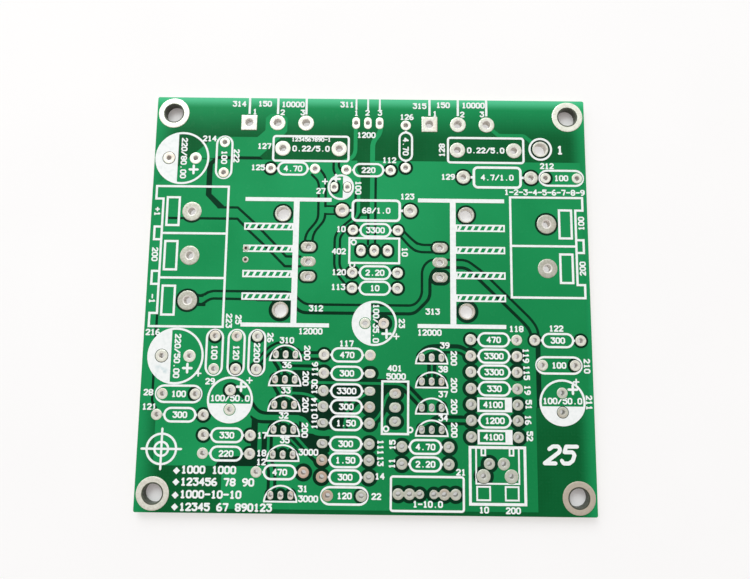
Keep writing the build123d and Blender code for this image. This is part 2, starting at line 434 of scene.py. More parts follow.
# Lands tinted towards the copper colour about two spots: share, reach and amount
copper_spots = [((388, 75), (3.0, 6.5), 1.0), ((961, 42), (3.4, 5.0), 0.55)]
# Painted shade on the tin, darker in front at the right: the share where it starts, the share where it is
# full, and the colour it multiplies by
painted_shade_start_share = (330, 360)
painted_shade_full_share = (420, 240)
painted_shade_colour = (0.77, 0.81, 0.79)
# Painted light in the bare mask's colour at the rim, standing for light through the laminate, and at the back
# edge also a painted sheen: axis, edge, reach from it, amount and colour
painted_deep_glow = (0.02, 0.50, 0.17)
painted_glow_and_sheen = (0.09, 0.57, 0.29)
painted_rim_glows = [
    ("Y", depth / 2, 9.0, 0.45, painted_deep_glow), ("Y", depth / 2, 2.2, 1.0, painted_glow_and_sheen),
    ("X", -width / 2, -4.5, 0.42, painted_deep_glow), ("X", width / 2, 3.5, 0.42, painted_deep_glow),
]
# Painted shade and light on the mask over copper, darker in front at the right and paler behind: share,
# reach, amount and colour
painted_shade_and_light_spots = [
    ((800, 150), (10.0, 55.0), 0.8, (0.006, 0.21, 0.06)),
    ((470, 800), (5.0, 30.0), 0.6, (0.018, 0.36, 0.125)),
]


def feed(node, inputs):
    """Gives a node's inputs a value or the socket it comes from."""
    for key, value in inputs.items():
        socket = node.inputs[key]
        if isinstance(value, bpy.types.NodeSocket):
            node.id_data.links.new(value, socket)
        else:
            socket.default_value = (*value, 1.0) if socket.type == "RGBA" else value


def add_node(tree, kind, inputs, **settings):
    """A shader node with its settings and inputs."""
    node = tree.nodes.new("ShaderNode" + kind)
    for key, value in settings.items():
        setattr(node, key, value)
    feed(node, inputs)
    return node.outputs


def new_material(name):
    """A material with its shader and the coordinates of the object."""
    material = bpy.data.materials.new(name)
    material.use_nodes = True
    tree = material.node_tree
    return material, tree.nodes["Principled BSDF"], add_node(tree, "TexCoord", {})["Object"]


def noise(coords, scale, detail=3.0):
    """A grey noise at a scale in waves to the metre."""
    inputs = {"Vector": coords, "Scale": scale, "Detail": detail}
    return add_node(coords.id_data, "TexNoise", inputs)["Fac"]


def span(value, start, end, to_low=0.0, to_high=1.0, soft=False):
    """A value moved from one range to another."""
    limits = {"Value": value, "From Min": start, "From Max": end, "To Min": to_low, "To Max": to_high}
    kind = "SMOOTHSTEP" if soft else "LINEAR"
    return add_node(value.id_data, "MapRange", limits, interpolation_type=kind)["Result"]


def sums(operation, first, second):
    """A sum on a socket and a second value, a number or a socket."""
    return add_node(first.id_data, "Math", {0: first, 1: second}, operation=operation)[0]


def split(coords):
    """The three parts of a vector."""
    return add_node(coords.id_data, "SeparateXYZ", {0: coords})


def blend_colours(amount, first, second, kind="MIX"):
    """A mix of two colours, each a colour or a socket."""
    inputs = {0: amount, 6: first, 7: second}
    return add_node(amount.id_data, "Mix", inputs, data_type="RGBA", blend_type=kind)[2]


def bump(shader, height, strength, grain):
    """Fine relief from a grey value."""
    inputs = {"Height": height, "Strength": strength, "Distance": grain * mm}
    feed(shader, {"Normal": add_node(shader.id_data, "Bump", inputs)["Normal"]})


def waves(coords, direction, pitch, distortion):
    """Grey bands with a pitch."""
    inputs = {"Vector": coords, "Scale": unit_pitch / (pitch * mm), "Distortion": distortion}
    return add_node(coords.id_data, "TexWave", inputs, bands_direction=direction)["Fac"]


def near(coords, point, reach, amount):
    """An amount that fades with the distance from a point on the printed face."""
    spot = Vector((*point, ink_top)) * mm
    away = add_node(coords.id_data, "VectorMath", {0: coords, 1: spot}, operation="DISTANCE")["Value"]
    return span(away, reach[0] * mm, reach[1] * mm, amount, 0.0, True)


def mask_material(name, dark, light, weave_amount, painted_glows=(), painted_tones=()):
    """Glossy solder mask, a little clouded, with the glass weave, painted daylight at the rim and painted
    shade and light about some spots.
    """
    material, shader, coords = new_material(name)
    colour = blend_colours(span(noise(coords, cloud_waves), *usual_range), dark, light)
    weave = sums("MULTIPLY", *[waves(coords, axis, weave_pitch, 1.2) for axis in "XY"])
    colour = blend_colours(span(weave, 0.0, 1.0, 0.0, weave_amount), colour, light)
    parts = split(coords)
    # Painted light: the colour turns a paler green towards the edges of the board.
    for axis, edge, reach, amount, painted_glow_colour in painted_glows:
        painted_glow = span(parts[axis], edge * mm, (edge - reach) * mm, amount, 0.0, True)
        colour = blend_colours(painted_glow, colour, painted_glow_colour)
    # Painted shade and light: the colour turns darker or paler about some spots.
    for share, reach, amount, tone in painted_tones:
        colour = blend_colours(near(coords, at(share), reach, amount), colour, tone)
    gloss = span(noise(coords, gloss_waves), *usual_range, 0.2, 0.3)
    feed(shader, {"Base Color": colour, "Roughness": gloss, "Specular IOR Level": 0.08})
    bump(shader, noise(coords, film_waves, 2.0), 0.1, mask_grain)
    return material


def tin_material(name, light, dark, copper, metallic):
    """Satin tin, grainy, with a breath of copper on some lands and painted shade that darkens it in front at
    the right.
    """
    material, shader, coords = new_material(name)
    patches = span(noise(coords, tin_waves, 5.0), 0.4, 0.65)
    colour = blend_colours(patches, light, dark)
    breath = span(noise(coords, breath_waves, 1.0), 0.58, 0.85)
    for share, reach, amount in copper_spots:
        breath = sums("MAXIMUM", breath, near(coords, at(share), reach, amount))
    colour = blend_colours(breath, colour, copper)
    parts = split(coords)
    # Painted shade: the colour is multiplied darker in front at the right.
    ends = zip("XY", at(painted_shade_start_share), at(painted_shade_full_share))
    fades = [span(parts[axis], start * mm, end * mm, soft=True) for axis, start, end in ends]
    colour = blend_colours(sums("MULTIPLY", *fades), colour, painted_shade_colour, "MULTIPLY")
    satin = span(noise(coords, satin_waves), *usual_range, 0.36, 0.5)
    feed(shader, {"Base Color": colour, "Roughness": satin, "Metallic": metallic})
    bump(shader, noise(coords, tin_waves, 4.0), 0.3, tin_grain)
    return material


def ink_material():
    """Matt white ink, a little thin in places, with a faint blue stain on one filled segment."""
    material, shader, coords = new_material("legend_ink")
    thin = span(noise(coords, thin_waves, 4.0), 0.45, 0.8)
    colour = blend_colours(thin, (0.90, 0.935, 0.93), (0.78, 0.84, 0.83))
    stain = near(coords, at(stain_share), stain_reach, 0.75)
    cloud = span(noise(coords, stain_waves, 4.0), 0.42, 0.62)
    colour = blend_colours(sums("MULTIPLY", stain, cloud), colour, (0.46, 0.62, 0.66))
    feed(shader, {"Base Color": colour, "Roughness": 0.55, "Specular IOR Level": 0.25})
    bump(shader, noise(coords, ink_waves), 0.25, ink_grain)
    return material


def edge_material():
    """Sawn glass-fibre laminate: pale resin with fine layers."""
    material, shader, coords = new_material("laminate_edge")
    layers = waves(coords, "Z", layer_pitch, 2.0)
    colour = blend_colours(layers, (0.42, 0.46, 0.26), (0.60, 0.62, 0.42))
    feed(shader, {"Base Color": colour, "Roughness": 0.7})
    bump(shader, noise(coords, saw_waves), 0.4, saw_grain)
    return material


mask_on_copper = mask_material(
    "mask_on_copper", (0.008, 0.262, 0.080), (0.012, 0.305, 0.098), 0.15, painted_tones=painted_shade_and_light_spots)
mask_on_laminate = mask_material(
    "mask_on_laminate", (0.0008, 0.088, 0.020), (0.003, 0.125, 0.034), 0.45, painted_rim_glows)
mask_in_moats = mask_material("mask_in_moats", (0.0004, 0.024, 0.009), (0.0008, 0.038, 0.015), 0.2)
tin = tin_material("tin", (0.60, 0.605, 0.52), (0.47, 0.465, 0.385), (0.58, 0.50, 0.41), 0.8)
clear_tin = tin_material("clear_tin", (0.75, 0.76, 0.665), (0.61, 0.61, 0.53), (0.66, 0.55, 0.45), 0.7)
bright_tin = tin_material("bright_tin", (0.87, 0.89, 0.785), (0.75, 0.755, 0.65), (0.76, 0.57, 0.45), 0.55)
# Barrels: tin_barrel is a paler, less metallic copy of the tin, painted light that lifts the insides of the
# small holes; the near-black barrel is painted shade on the shaded walls of the corner eyelets.
tin_barrel = tin_material("tin_barrel", (0.82, 0.80, 0.75), (0.70, 0.67, 0.61), (0.70, 0.58, 0.50), 0.25)
painted_shade_barrel = tin_material("painted_shade_barrel", (0.07, 0.088, 0.055), (0.04, 0.05, 0.03), (0.06, 0.06, 0.04), 0.0)
dark_copper = tin_material("dark_copper", (0.36, 0.25, 0.19), (0.20, 0.13, 0.10), (0.30, 0.20, 0.15), 0.5)
ink = ink_material()
laminate_edge = edge_material()

# Lead points
beside_film = by(at(films[0][1]), -(watt_span + film_span) / 2 - film_gap, 0)
watt_middles = [at(watt_share), beside_film]
test_point = by(at(cement_shares[1]), (cement_body[0] + test_circle) / 2 + test_gap, test_rise)
fin_end = sink_stem / 2 + fin_length
via_points = [by(at(sinks[0][1]), via_reach - fin_end, fin_heights[1] - step * via_pitch) for step in (0, 1)]
mount_x = width / 2 - mount_inset
mount_y = depth / 2 - mount_inset

# Pads of each kind: point, size, and the moat round it where the pad stands alone
pads = {}


def add_pads(kind, points, sizes, gaps):
    """Pads at points; sizes and gaps are one for all, or a list with one for each."""
    sizes = sizes if isinstance(sizes, list) else [sizes] * len(points)
    gaps = gaps if isinstance(gaps, list) else [gaps] * len(points)
    pads.setdefault(kind, []).extend(zip(points, sizes, gaps))


mount_points = [(x, y) for x in (-mount_x, mount_x) for y in (-mount_y, mount_y)]
add_pads("mounting_eyelets", mount_points, mount_pad, 0)
for side, ways, share, margins in terminals:
    alone = [thin_moat, 0, thin_moat] if side < 0 else [0, thin_moat]
    add_pads("terminal_lands", leads(at(share), ways, terminal_pitch, 90), terminal_pad, alone)
for side, share in sinks:
    pin_points = [by(at(share), side * pin_offset, end * pin_spread / 2) for end in (-1, 1)]
    add_pads("heat_sink_lands", pin_points, pin_pad, [wide_moat, thin_moat])
    driver_points = [by(at(share), -side * driver_offset, step * driver_pitch) for step in (-1, 0, 1)]
    add_pads("driver_lands", driver_points, driver_pad, [wide_moat if side > 0 else thin_moat, 0, thin_moat])
for share in power_shares:
    add_pads("power_transistor_lands", leads(at(share), 3, power_pitch), power_pad, 0)
for share in cement_shares:
    add_pads("power_resistor_lands", leads(at(share), 2, cement_span), cement_pad, 0)
add_pads("test_point_land", [test_point], test_pad, thin_moat)
add_pads("via_lands", via_points, via_pad, 0)
add_pads("middle_lands", leads(at(middle_share), 3, middle_pitch), middle_pad, 0)
for point in watt_middles:
    add_pads("one_watt_lands", leads(point, 2, watt_span), watt_pad, thin_moat)
# Resistors whose moats differ, and the ends whose pads are flat
resistor_moats = {
    (322, 818): [moat, 0], (497, 816): [0, moat], (514.5, 665): [moat, thin_moat],
    (455, 363): [moat, 0], (924, 402.5): thin_moat, (90, 220): [0, moat],
    (195, 174.5): moat, (195, 133): [0, moat], (313, 92.5): [0, wide_moat],
    (781, 402.5): [moat, 0], (781, 288): [wide_moat, 0],
}
flat_ends = {(455, 320): 1, (455, 279): 1, (455, 205): 0, (455, 158): 0}
low_rows_share = 400
for share in [share for share, number in resistors] + diode_shares:
    gaps = resistor_moats.get(share, wide_moat if share[1] < low_rows_share else moat)
    sizes = [flat_pad if flat_ends.get(share) == end else lead_pad for end in (0, 1)]
    add_pads("resistor_lands", leads(at(share), 2, resistor_span), sizes, gaps)
upright_leads = leads(at(upright_resistor_share), 2, resistor_span, 90)
add_pads("resistor_lands", upright_leads, lead_pad, [moat, 0])
for turn, share, number, gaps in films:
    add_pads("film_capacitor_lands", leads(at(share), 2, film_span, turn), lead_pad, gaps)
can_pads = {big_can: wide_pad, middle_can: lead_pad, little_can: slim_pad}
for size, turn, share, number, gaps in cans:
    add_pads("electrolytic_lands", leads(at(share), 2, size[1], turn), can_pads[size], gaps)
open_case_share = (642.8, 242.5)
for share in small_shares:
    gaps = [case_moat, 0, case_moat] if share == open_case_share else case_moat
    add_pads("small_transistor_lands", leads(at(share), 3, small_pitch), case_pad, gaps)
for turn, share in trimmers:
    size, gap = (turned_trimmer_pad, wide_moat) if turn else (trimmer_pad, moat)
    add_pads("trimmer_lands", leads(at(share), 3, trimmer_pitch, turn), size, gap)
for shares, size in ((coupling_wide_shares, lead_pad), (coupling_slim_shares, small_coupling_pad)):
    row = [at((x, coupling_row_share)) for x in shares]
    add_pads("coupling_capacitor_lands", row, size, wide_moat)
for share, size, gap in socket_leads:
    add_pads("input_socket_lands", [at(share)], size, gap)
all_pads = [pad for group in pads.values() for pad in group]
tiny = 1e-6


def side_of(value):
    """The sign of a value, or nothing where it is next to nothing."""
    return (value > tiny) - (value < -tiny)


def pad_outline(size, grow=0.0, square=False):
    """A pad's outline about the origin: round, oblong or square."""
    half_x = size[0] / 2 + grow
    half_y = size[1] / 2 + grow
    radius = min(half_x, half_y)
    outline = []
    for x, y in circle((0, 0), 1.0):
        far = radius / max(abs(x), abs(y)) if square else radius
        outline.append((x * far + side_of(x) * (half_x - radius), y * far + side_of(y) * (half_y - radius)))
    return outline


# A land's section: share of the way in from its outline to its hole, and how far it lies below the crest.
# The crest stands near the rim and the tin dips towards the hole, as solder does that was blown level.
dip_shares = [(0.0, 0.03), (0.04, 0.01), (0.12, 0.0), (0.4, 0.002), (0.8, 0.007), (0.94, 0.014), (1.0, 0.05)]
land_section = [
    (0.0, ground), *[(share, tin_top - dip) for share, dip in dip_shares],
    *[(share, dip) for share, dip in reversed(dip_shares)], (0.0, under_ground),
]
smooth_angle = 40
barrel_share = 0.8


def lands(name, group, square_first, land, barrel):
    """Tinned eyelets: a dished land on each face and a barrel between them."""
    points = []
    faces = []
    finishes = []
    section = land_section + [(None, under_ground), (None, ground)]
    for number, ((x, y), size, gap) in enumerate(group):
        hole = size[2] / 2
        outer = pad_outline(size, square=square_first and number % 3 == 0)
        inner = circle((0, 0), hole)
        seat = circle((x, y), hole + plating)
        rings = []
        for share, z in section:
            rings.append(len(points))
            loop = seat
            if share is not None:
                steps = [Vector(a).lerp(Vector(b), share) for a, b in zip(outer, inner)]
                loop = [(x + step.x, y + step.y) for step in steps]
            points.extend((*point, z) for point in loop)
        for n, (a, b) in enumerate(zip(rings, rings[1:] + rings[:1])):
            ends = section[n][0], section[(n + 1) % len(section)][0]
            inside = None not in ends and min(ends) >= barrel_share
            for step in range(pad_sides):
                after = (step + 1) % pad_sides
                faces.append([a + step, a + after, b + after, b + step])
                finishes.append(int(inside))
    return keep_mesh(name, points, faces, [land, barrel], finishes, smooth_angle)


# Copper under the mask, painted in order: each field or line covers what was there before. A line has a width
# and the reach of its rounded corners, a field has neither. Routes are shares, one after the other.
hair = 0.36
fine = 0.48
firm = 0.61
broad = 0.75
heavy = 0.95
band = 1.4
wide_band = 1.75
crisp = 0.4
soft = 0.8
round_bend = 1.1
early_routes = [
    ("bare", 0, 0, """
    0 0, 37 0, 37 225, 27 245, 0 245;
    988 0, 1000 0, 1000 1000, 988 1000;
    0 0, 1000 0, 1000 10, 0 10;
    0 765, 56 820, 76 840, 1000 840, 1000 1000, 0 1000;
    471 840, 501 840, 501 700, 479 700, 479 800, 471 815;
    872 246, 1000 246, 1000 0, 872 0;
    0 105, 187 105, 187 0, 0 0"""),
    ("copper", 0, 0, """
    76 840, 113 874, 137 898, 237 898, 255 916, 255 948, 266 959, 295 959, 306 948, 306 914, 298 904,
    244 848"""),
    ("copper", broad, soft, "466 935, 466 860, 458 846, 440 838"),
    ("copper", heavy, round_bend, "524 935, 524 913, 506 888, 506 830"),
    ("copper", broad, crisp, "770 935, 800 908, 858 908, 884 885"),
    ("moat", 0, 0, """
    244 848, 253 840, 148 840, 136 826, 136 752, 166 722, 166 715, 153 715, 123 748, 123 828, 144 848;
    874 400, 885 400, 885 245, 874 245;
    248 222, 262 205, 262 183, 296 176, 296 112, 262 105, 172 105, 183 125, 232 128, 248 145;
    335 327, 410 327, 420 308, 545 308, 585 300, 575 280, 545 285, 534 260, 534 225, 515 225, 500 258,
    335 258;
    352 265, 450 265, 450 190, 352 190;
    337 185, 420 176, 420 140, 398 126, 380 126, 350 172;
    538 270, 552 270, 552 231, 538 231"""),
    ("moat", fine, 0, """
    153 718, 198 718, 237 681, 285 629, 312 598, 345 598;
    38 690, 198 690, 224 662, 259 628, 310 574, 345 574;
    498 705, 498 630;
    514 800, 514 630"""),
    ("moat", fine, crisp, "416 838, 416 815, 422 800; 428 838, 428 825, 438 808; 27 480, 27 250, 36 236"),
    ("moat", fine, round_bend, """
    468 760, 468 700, 437 672, 422 652, 422 572, 431 553, 447 533;
    366 803, 383 786, 383 690, 356 655, 354 635;
    380 823, 399 798, 399 690, 373 656, 371 635;
    573 670, 600 641, 614 630, 650 630;
    571 652, 596 622, 612 612, 650 612;
    105 509, 114 500, 128 500, 142 512, 325 512, 358 482, 604 482, 621 505, 621 573, 638 594, 722 594,
    758 566, 866 452, 880 430, 882 400;
    112 486, 119 478, 128 478, 142 494, 310 492"""),
    ("moat", fine, soft, "480 705, 474 692, 449 667, 434 648, 434 575, 452 548"),
    ("moat", hair, 0, "399 724, 435 724; 399 704, 435 704"),
    ("moat", firm, round_bend, """
    250 492, 318 492, 350 462, 604 462, 639 500, 639 555, 653 575, 722 575, 744 553, 851 441, 864 424,
    866 400"""),
    ("moat", firm, 0, "212 277, 229 261; 330 336, 392 336"),
    ("moat", firm, soft, """
    249 248, 256 236, 270 226, 360 226;
    248 218, 254 209, 266 206, 310 206;
    638 209, 650 222, 710 222"""),
    ("moat", wide_band, soft, """
    574 297, 589 285, 622 249;
    335 168, 370 146, 392 125;
    622 366, 632 377, 648 380, 706 380, 728 364"""),
    ("moat", wide_band, 0, "643 350, 643 315"),
]
# Tracks inside a moat of their own: widths of the moat and of the track
track_routes = [
    (band, fine, soft, "258 344, 268 357, 281 372, 292 380, 305 386, 320 384, 333 376, 340 367"),
    (wide_band, firm, 0, "345 360, 403 360; 658 214, 728 214"),
    (wide_band, fine, crisp, "298 350, 304 341, 310 331, 310 318; 300 292, 306 281, 312 272, 310 264"),
    (wide_band, firm, soft, "289 112, 296 100, 296 55"),
    (wide_band, fine, soft, """
    511 207, 522 216, 532 231, 538 250, 542 266, 548 274, 562 274;
    497 272, 472 256, 456 231, 451 200"""),
]
late_routes = [
    ("copper", 0, 0, "66 693, 120 693, 120 740, 66 740; 393 721, 393 707, 410 707, 410 721"),
    ("copper", fine, crisp, "325 330, 385 329, 402 322; 348 171, 370 146, 392 125"),
    ("copper", fine, round_bend, "370 298, 575 297, 589 285, 622 249"),
    ("copper", fine, soft, """
    333 273, 360 272, 376 268, 389 260, 402 246;
    286 178, 286 135, 289 112;
    622 364, 632 374, 648 378, 706 378, 728 364"""),
    ("copper", heavy, soft, """
    242 234, 252 222, 268 216, 345 216, 362 213, 372 197, 385 184, 400 181, 452 182"""),
    ("copper", broad, 0, "267 190, 267 141"),
    ("copper", hair, 0, "335 166, 355 145; 643 345, 643 300"),
    ("copper", hair, soft, "622 198, 630 206, 645 212, 660 214"),
    ("copper", fine, 0, "451 200, 451 185"),
]
fields = []


def paint(kind, size, reach, routes):
    """Fields or lines along some routes, added to what is painted."""
    for words in routes.split(";"):
        route = [at(row[0]) for row in rows(words)]
        if not size:
            fields.append((kind, route))
            continue
        route = eased(route, reach) if reach else route
        fields.extend((kind, capsule(a, b, size)) for a, b in zip(route, route[1:]))


for entry in early_routes:
    paint(*entry)
for moat_size, size, reach, routes in track_routes:
    paint("moat", moat_size, reach, routes)
for point, size, gap in all_pads:
    if gap:
        fields.append(("moat", put(pad_outline(size, gap), point)))
for moat_size, size, reach, routes in track_routes:
    paint("copper", size, reach, routes)
for entry in late_routes:
    paint(*entry)


def board():
    """The laminate with its mask: copper stands a little above the bare fields on both faces."""
    paints = [box(width, depth, board_corner)] + [points for kind, points in fields]
    kinds = ["copper"] + [kind for kind, points in fields]
    lead_pads = [pad for pad in all_pads if pad[1] != mount_pad]
    under = [put(pad_outline(size, under_moat), point) for point, size, gap in lead_pads]
    holes = [circle(point, size[2] / 2 + plating) for point, size, gap in all_pads]
    first_under = len(paints)
    first_hole = first_under + len(under)
    points, triangles, covers = cut_up(paints + under + holes)
    kept = []
    upper = []
    lower = []
    for triangle, cover in zip(triangles, covers):
        if 0 not in cover or max(cover) >= first_hole:
            continue
        kept.append(list(triangle))
        upper.append(kinds[max(n for n in cover if n < first_under)])
        lower.append("moat" if max(cover) >= first_under else "copper")
    levels = [top, top - relief, under_relief * 2, under_relief]
    count = len(points)
    mesh_points = [(point.x, point.y, level) for level in levels for point in points]
    shades = {"copper": 0, "bare": 1, "moat": 2}
    faces = []
    shade_of = []

    def add(face, shade):
        faces.append(face)
        shade_of.append(shade)

    def add_wall(a, b, level, shade):
        high_side = level * count
        low_side = high_side + count
        add([b + high_side, a + high_side, a + low_side, b + low_side], shade)

    for triangle, kind, under_kind in zip(kept, upper, lower):
        level = 0 if kind == "copper" else 1
        add([n + level * count for n in triangle], shades[kind])
        level = 3 if under_kind == "copper" else 2
        add([n + level * count for n in reversed(triangle)], shades[under_kind])
    edges = edges_of(kept)
    for (a, b), number in edges.items():
        other = edges.get((b, a))
        for face_kinds, level in ((upper, 0), (lower, 2)):
            if face_kinds[number] == "copper" and (other is None or face_kinds[other] != "copper"):
                add_wall(a, b, level, 0)
        if other is None:
            add_wall(a, b, 1, 3)
    materials = [mask_on_copper, mask_on_laminate, mask_in_moats, laminate_edge]
    return keep_mesh("circuit_board", *packed(mesh_points, faces), materials, shade_of)


# Printed outlines
case_radius = small_case / 2


def case_mark():
    """A small transistor's outline, flat in front of its leads."""
    inner_radius = case_radius - thin_stroke
    rise = math.degrees(math.asin(thin_stroke / inner_radius))
    return ring(arc(case_radius, 0, 180, case_steps), arc(inner_radius, rise, 180 - rise, case_steps))


def can_mark(size):
    """A round outline whose segment at -X is filled."""
    inner_radius = size / 2 - stroke
    start = math.degrees(math.acos(-segment_share * size / 2 / inner_radius))
    return ring(circle((0, 0), size / 2, can_sides), arc(inner_radius, -start, start, can_sides))


def round_mark(point, radius, line, sides):
    """A printed circle."""
    return ring(circle(point, radius, sides), circle(point, radius - line, sides))


def sink_mark(lean):
    """A heat sink from above: end bars, a stem and hatched fins at -X."""
    half = sink_height / 2
    shapes = [solid(bar((0, -half), (0, half), sink_stem))]
    for y in (-half, half):
        shapes.append(solid(bar((-sink_reach, y), (sink_back, y), sink_bar)))
    middle = -sink_stem / 2 - fin_length / 2
    rise = fin_height / 2
    first = middle - fin_length / 2 + thin_stroke + hatch_start + max(-lean, 0.0)
    for y in fin_heights:
        shapes.append(shifted(frame_of(fin_length, fin_height, thin_stroke), (middle, y)))
        for step in range(hatch_count):
            x = first + hatch_pitch * step
            far = x + hatch_line
            low_side = [(x, y - rise), (far, y - rise)]
            shapes.append(solid(low_side + [(far + lean, y + rise), (x + lean, y + rise)]))
    return shapes


def terminal_wall(low_end, high_end, inset):
    """The wall of a terminal that opens to -X and into its two end tabs, moved in by an inset."""
    back = terminal_back - inset
    front = inset - terminal_front
    tip = front - terminal_tab
    low_side = low_end + inset
    high_side = high_end - inset
    low_root = low_end + tab_height - inset
    high_root = high_end - tab_height + inset
    return [
        (back, low_side), (back, high_side), (tip, high_side), (tip, high_root), (front, high_root),
        (front, low_root), (tip, low_root), (tip, low_side),
    ]


def terminal_mark(ways, margins):
    """A screw terminal: walls, wire slots and tabs towards the edge."""
    half = ways * terminal_pitch / 2
    ends = (-half - margins[0], half + margins[1])
    line = terminal_stroke
    shapes = [ring(terminal_wall(*ends, 0.0), terminal_wall(*ends, line))]
    for way in range(ways):
        y = (way - (ways - 1) / 2) * terminal_pitch
        shapes.append(shifted(frame_of(*slot_size, line), (-slot_offset, y)))
    tab_depth = terminal_tab + line
    edge = line - terminal_front
    for gap in range(1, ways):
        y = (gap - ways / 2) * terminal_pitch
        shapes.append(shifted(frame_of(tab_depth, tab_height, line), (edge - tab_depth / 2, y)))
        shapes.append(solid(bar((edge, y), (terminal_back, y), line)))
    return shapes


def body_mark(body, line, corner, span_to_pad):
    """A resistor's outline with the stubs of its leads."""
    shapes = [frame_of(*body, line, corner)]
    for side in (-1, 1):
        shapes.append(solid(bar((side * (body[0] - line) / 2, 0), (side * span_to_pad, 0), line)))
    return shapes


def placed(shapes, points, turn=0):
    """A set of shapes at each of some points."""
    return [shifted(shape, point, turn) for point in points for shape in shapes]


def spots(shares):
    """The points of a table of shares."""
    return [at(share) for share in shares]


capsule_mark = body_mark(resistor_body, stroke, resistor_body[1] / 2, (resistor_span - lead_pad[0]) / 2)
cathode = put(box(diode_band, diode_body[1]), ((diode_body[0] - diode_band) / 2, 0))
watt_mark = body_mark(watt_body, watt_stroke, watt_corner, (watt_span - watt_pad[0]) / 2)
cement_mark = frame_of(*cement_body, cement_stroke, cement_corner)
film_mark = frame_of(*film_body, stroke, film_body[1] / 2)
case_points = [by(point, 0, -small_case_front) for point in spots(small_shares)]
ring_mark = round_mark((0, 0), trimmer_ring / 2, thin_stroke, ring_sides)
trimmer_marks = [shifted(frame_of(*trimmer_body), at(share), turn) for turn, share in trimmers]
coupling_mark = frame_of(*coupling_body, stroke, coupling_corner)
socket_point = at(socket_share)
well_y = (socket_side - socket_well[1]) / 2
notch_y = (socket_side - socket_notch[1]) / 2 - thin_stroke
notch_points = [by(socket_point, side * notch_offset, notch_y) for side in (-1, 1)]
lead_lines = [
    ("power_transistor_lands", power_line_share, power_stroke),
    ("middle_lands", middle_line_share, middle_stroke),
]
marks = {
    "resistor_outlines": placed(capsule_mark, spots(share for share, number in resistors))
    + placed(capsule_mark, [at(upright_resistor_share)], 90),
    "diode_outlines": placed([frame_of(*diode_body), solid(cathode)], spots(diode_shares)),
    "one_watt_resistor_outlines": placed(watt_mark, watt_middles),
    "five_watt_resistor_outlines": placed([cement_mark], spots(cement_shares)),
    "film_capacitor_outlines": [shifted(film_mark, at(share), turn) for turn, share, number, gaps in films],
    "electrolytic_outlines": [
        shifted(can_mark(size[0]), at(share), turn) for size, turn, share, number, gaps in cans
    ],
    "small_transistor_outlines": placed([case_mark()], case_points),
    "trimmer_outlines": trimmer_marks + placed([ring_mark], spots(trimmer_ring_shares)),
    "coupling_capacitor_outline": [shifted(coupling_mark, at(coupling_share))],
    "heat_sink_outlines": [
        shifted(shape, at(share), 0, -side)
        for side, share in sinks for shape in sink_mark(-side * hatch_lean)
    ],
    "terminal_outlines": [
        shifted(shape, at(share), 0, -side)
        for side, ways, share, margins in terminals for shape in terminal_mark(ways, margins)
    ],
    "input_socket_outline": [
        shifted(frame_of(socket_side, socket_side, bold_stroke), socket_point),
        shifted(frame_of(*socket_well, thin_stroke), by(socket_point, 0, well_y)),
        *placed([frame_of(*socket_notch, thin_stroke)], notch_points),
        *placed([frame_of(socket_foot, socket_foot, thin_stroke)], spots(socket_foot_shares)),
    ],
    "lead_lines": [
        solid(bar((point[0], at((0, start))[1]), (point[0], depth / 2), line))
        for kind, start, line in lead_lines for point, size, gap in pads[kind]
    ],
    "test_point_ring": [round_mark(test_point, test_circle / 2, stroke, can_sides)],
}

# Plain numerals, each a set of lines through the points of a grid
grid_width = 4
grid_height = 6
glyph_steps = 3
glyphs = {
    "0": "10 30 41 45 36 16 05 01 10",
    "1": "15 26 20, 10 30",
    "2": "05 16 36 45 44 00 40",
    "3": "06 46 24 34 43 41 30 10 01",
    "4": "30 36 02 42",
    "5": "46 06 04 34 43 41 30 10 01",
    "6": "36 26 04 01 10 30 41 42 33 03",
    "7": "06 46 20",
    "8": "13 04 05 16 36 45 44 33 13 02 01 10 30 41 42 33",
    "9": "10 20 42 45 36 16 05 04 13 43",
    ".": "20 20",
    "-": "03 43",
    "/": "00 46",
    "+": "03 43, 21 25",
    " ": "",
}
numeral_height = 1.2
numeral_line = 0.27
advance = 5.9
numeral_shapes = []


def numerals(text, point, turn=0, height=numeral_height, line=numeral_line, lean=0.0, from_left=False):
    """A row of numerals about a point, or to the right of it."""
    unit = (height - line) / grid_height
    start = 0.0 if from_left else (advance - grid_width - len(text) * advance) * unit / 2
    for number, sign in enumerate(text):
        for words in glyphs[sign].split(","):
            route = []
            for x, y in words.split():
                across = start + (number * advance + int(x) + int(y) * lean) * unit
                route.append(by(point, across, (int(y) - grid_height / 2) * unit, turn))
            numeral_shapes.extend(solid(capsule(a, b, line, glyph_steps)) for a, b in zip(route, route[1:]))


# Values inside the printed bodies
for share, text in resistors:
    numerals(text, at(share))
numerals("4.70", at(upright_resistor_share), -90)
diode_number_left = 0.3
for share in diode_shares:
    numerals("4100", by(at(share), -diode_number_left, 0))
for point, text in zip(watt_middles, watt_numbers):
    numerals(text, point)
for turn, share, text, gaps in films:
    numerals(text, at(share), -turn)
for size, turn, share, text, gaps in cans:
    numerals(text, by(at(share), can_number_rise, 0, turn), turn - 90)
fine_height = 0.85
fine_line = 0.2
fine_rise = 1.85
for share in cement_shares:
    numerals("0.22/5.0", at(share))
numerals("1234567890-1", by(at(cement_shares[0]), 0, fine_rise), 0, fine_height, fine_line)

